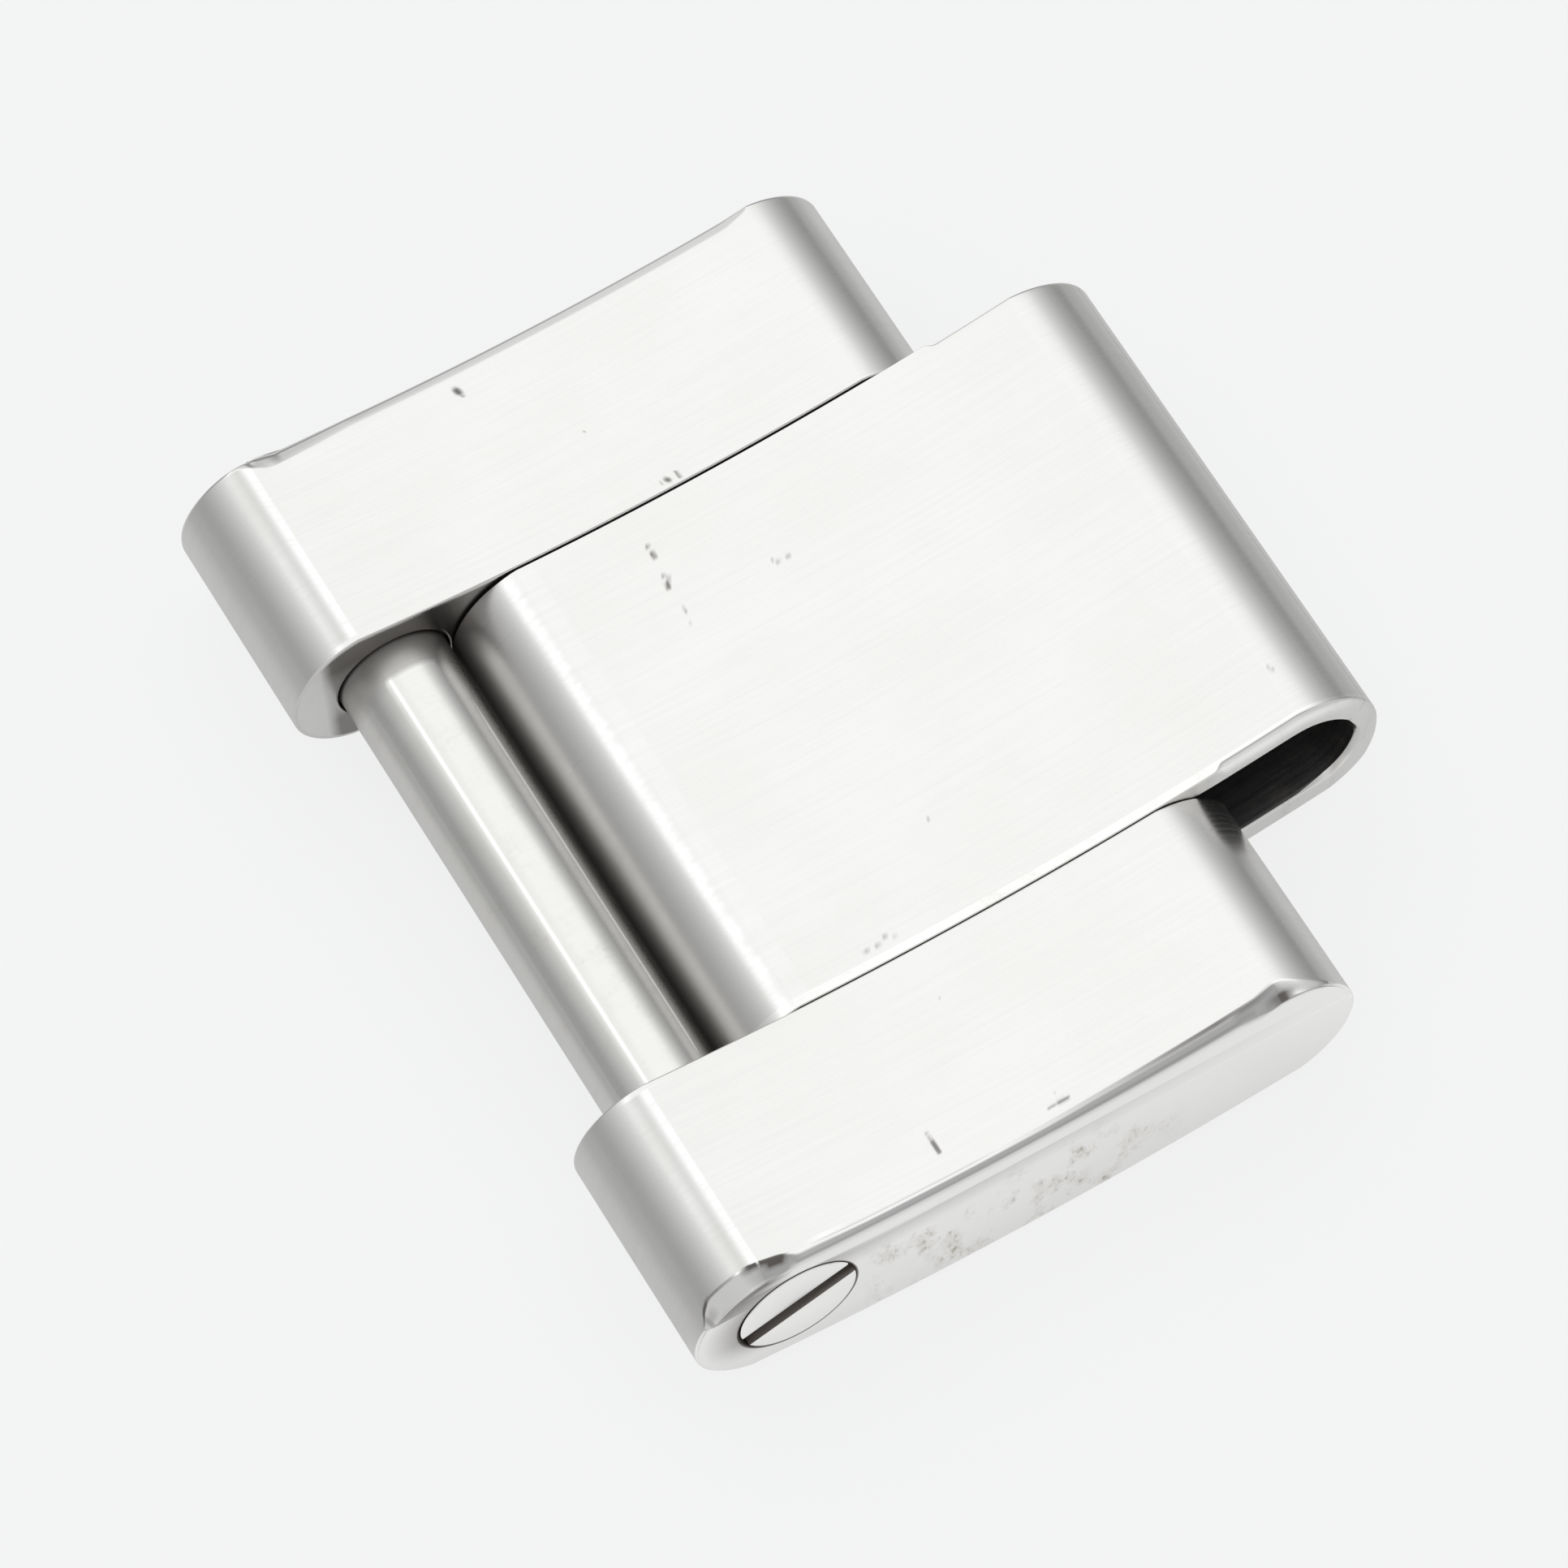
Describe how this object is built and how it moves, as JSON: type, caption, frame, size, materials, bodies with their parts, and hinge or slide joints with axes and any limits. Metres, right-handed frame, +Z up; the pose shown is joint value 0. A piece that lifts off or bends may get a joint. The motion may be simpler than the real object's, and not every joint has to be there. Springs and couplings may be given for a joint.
{
  "type": "watch bracelet link",
  "caption": "Steel three-row watch bracelet link: solid outer links, a hollow centre link hinged between them, and a slotted link screw in a loose sleeve.",
  "frame": {"origin": "middle of the bounding box at the height of the surface that the link lies on, with the link on its outer side and the wrist side up", "axes": "+X along the bracelet towards the centre link's open end, +Y across the bracelet from the outer link with the screw head to the other one, +Z up, out of the wrist side"},
  "size_m": [0.014, 0.016, 0.0035],
  "materials": {
    "head_link": "brushed along the length, side polished",
    "thread_link": "brushed along the length, side polished",
    "centre_link": "brushed along the length",
    "link_screw": "polished head, plain shank",
    "screw_sleeve": "drawn and worn smooth",
    "hinge_pin": "ground",
    "hinge_tube": "drawn"
  },
  "bodies": {
    "outer_frame": {"head_link": "head_link", "thread_link": "thread_link", "hinge_pin": "hinge_pin"},
    "hinge_tube": {"hinge_tube": "hinge_tube"},
    "centre_link": {"centre_link": "centre_link"},
    "screw_sleeve": {"screw_sleeve": "screw_sleeve"},
    "link_screw": {"link_screw": "link_screw"}
  },
  "joints": [
    {"name": "centre_swing", "type": "hinge", "parent": "outer_frame", "child": "hinge_tube", "pos_m": [-0.00237, 0, 0.00141], "axis": [0, -1, 0], "range_deg": [-126, 120]},
    {"name": "centre_play", "type": "slide", "parent": "hinge_tube", "child": "centre_link", "axis": [0.9994, 0, -0.0345], "range_m": [0, 0.00047]},
    {"name": "sleeve_turn", "type": "hinge", "parent": "outer_frame", "child": "screw_sleeve", "pos_m": [-0.00526, 0, 0.00161], "axis": [0, 1, 0], "continuous": true},
    {"name": "screw_out", "type": "slide", "parent": "screw_sleeve", "child": "link_screw", "axis": [0, -1, 0], "range_m": [0, 0.0155]}
  ]
}
